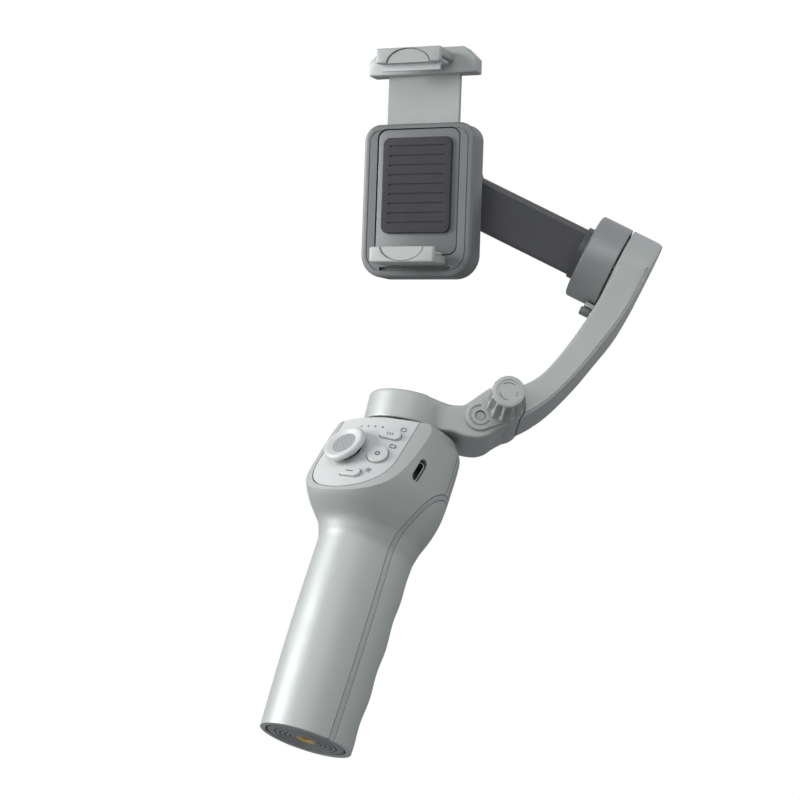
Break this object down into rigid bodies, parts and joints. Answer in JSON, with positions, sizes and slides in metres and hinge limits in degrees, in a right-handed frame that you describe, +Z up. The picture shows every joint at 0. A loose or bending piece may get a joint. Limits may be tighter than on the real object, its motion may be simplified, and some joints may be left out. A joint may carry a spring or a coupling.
{
  "type": "gimbal stabilizer",
  "caption": "Folding phone gimbal with a waisted handle, curved control panel, motorised pan, tilt and roll arms and a sprung phone clamp.",
  "frame": {"origin": "centre of the tripod socket in the handle's base", "axes": "+Z up the handle, -Y the side with the controls, +X the user's right"},
  "size_m": [0.1047, 0.136, 0.2844],
  "materials": {
    "shell": "satin, fine metallic grain",
    "shell_dark": "satin, darker grey",
    "panel": "smooth satin",
    "black_plastic": "matt black",
    "rubber": "matt soft rubber",
    "steel": "turned steel",
    "brass": "turned brass",
    "magnet": "nickel-plated magnets",
    "copper": "wound copper on a laminated core",
    "board": "solder mask",
    "cell": "shrink-wrapped cell",
    "lens": "clear milky lens"
  },
  "bodies": {
    "handle": {"base_cap": "black_plastic", "battery_cell": "cell", "battery_cradle": "black_plastic", "control_panel": "panel", "cover_screw_left": "steel", "cover_screw_right": "steel", "front_shell": "shell", "head_rear_cover": "shell", "indicator_lens": "lens", "joystick_housing": "black_plastic", "main_board": "board", "pan_bearing": "steel", "pan_motor_cup": "black_plastic", "pan_motor_stator": "copper", "rear_grip": "shell", "seam_trim": "shell_dark", "tripod_insert": "brass", "usb_socket": "steel"},
    "joystick_gimbal": {"joystick_ring": "black_plastic"},
    "joystick_cap": {"joystick_cap": "shell"},
    "mode_button": {"mode_button": "panel"},
    "record_button": {"record_button": "panel"},
    "power_button": {"power_button": "panel"},
    "pan_arm": {"hinge_bolt": "steel", "hinge_plate": "shell", "hinge_stop_pin": "steel", "pan_arm": "shell", "pan_magnet_ring": "magnet", "pan_shaft": "steel"},
    "fold_knob": {"fold_knob": "shell"},
    "fold_arm": {"arm_back_cover": "shell", "arm_flex_cable": "copper", "long_arm": "shell", "tilt_bearing": "steel", "tilt_motor_stator": "copper", "tilt_stop_bumper": "rubber", "tilt_stop_tab": "shell"},
    "tilt_link": {"link_arm": "shell_dark", "roll_motor_cap": "shell_dark", "roll_motor_stator": "copper", "tilt_magnet_ring": "magnet", "tilt_motor_can": "shell_dark", "tilt_shaft": "steel"},
    "clamp": {"back_pad": "rubber", "clamp_body": "shell_dark", "clamp_face_plate": "shell_dark", "clamp_spring_left": "steel", "clamp_spring_right": "steel", "guide_rod_left": "steel", "guide_rod_right": "steel", "lower_jaw": "shell", "lower_jaw_pad": "rubber", "roll_magnet_ring": "magnet", "roll_shaft": "steel"},
    "upper_jaw": {"upper_jaw": "shell", "upper_jaw_pad": "rubber"}
  },
  "joints": [
    {"name": "pan", "type": "hinge", "parent": "handle", "child": "pan_arm", "pos_m": [0, 0, 0.135], "axis": [0, -0.1219, 0.9925], "range_deg": [-165, 165]},
    {"name": "fold", "type": "hinge", "parent": "pan_arm", "child": "fold_arm", "pos_m": [0.03018, 0.01974, 0.15415], "axis": [0.5878, -0.803, -0.0986], "range_deg": [0, 60]},
    {"name": "fold_knob_turn", "type": "hinge", "parent": "pan_arm", "child": "fold_knob", "pos_m": [0.03018, 0.01974, 0.15415], "axis": [0.5878, -0.803, -0.0986], "range_deg": [0, 270]},
    {"name": "tilt", "type": "hinge", "parent": "fold_arm", "child": "tilt_link", "pos_m": [0.05695, 0.03004, 0.22987], "axis": [-0.7822, -0.5952, 0.1843], "range_deg": [-140, 140]},
    {"name": "roll", "type": "hinge", "parent": "tilt_link", "child": "clamp", "pos_m": [0.00283, -0.05408, 0.22713], "axis": [-0.2322, 0.8711, 0.4326], "range_deg": [-150, 150]},
    {"name": "jaw", "type": "slide", "parent": "clamp", "child": "upper_jaw", "axis": [0.0069, -0.4433, 0.8963], "range_m": [-0.018, 0.012], "stiffness_N_per_m": 60, "deforming": ["clamp_spring_left", "clamp_spring_right"]},
    {"name": "joystick_side", "type": "hinge", "parent": "handle", "child": "joystick_gimbal", "pos_m": [-0.0024, -0.02275, 0.11065], "axis": [0, 0.309, 0.9511], "range_deg": [-10, 10], "stiffness_Nm_per_rad": 0.02},
    {"name": "joystick_up", "type": "hinge", "parent": "joystick_gimbal", "child": "joystick_cap", "pos_m": [-0.0024, -0.02275, 0.11065], "axis": [0.9982, -0.057, 0.0185], "range_deg": [-10, 10], "stiffness_Nm_per_rad": 0.02},
    {"name": "mode_press", "type": "slide", "parent": "handle", "child": "mode_button", "axis": [-0.2592, 0.9185, -0.2985], "range_m": [0, 0.0006], "stiffness_N_per_m": 500},
    {"name": "record_press", "type": "slide", "parent": "handle", "child": "record_button", "axis": [-0.2571, 0.9191, -0.2986], "range_m": [0, 0.0006], "stiffness_N_per_m": 500},
    {"name": "power_press", "type": "slide", "parent": "handle", "child": "power_button", "axis": [-0.1043, 0.9459, -0.3073], "range_m": [0, 0.0006], "stiffness_N_per_m": 500}
  ]
}
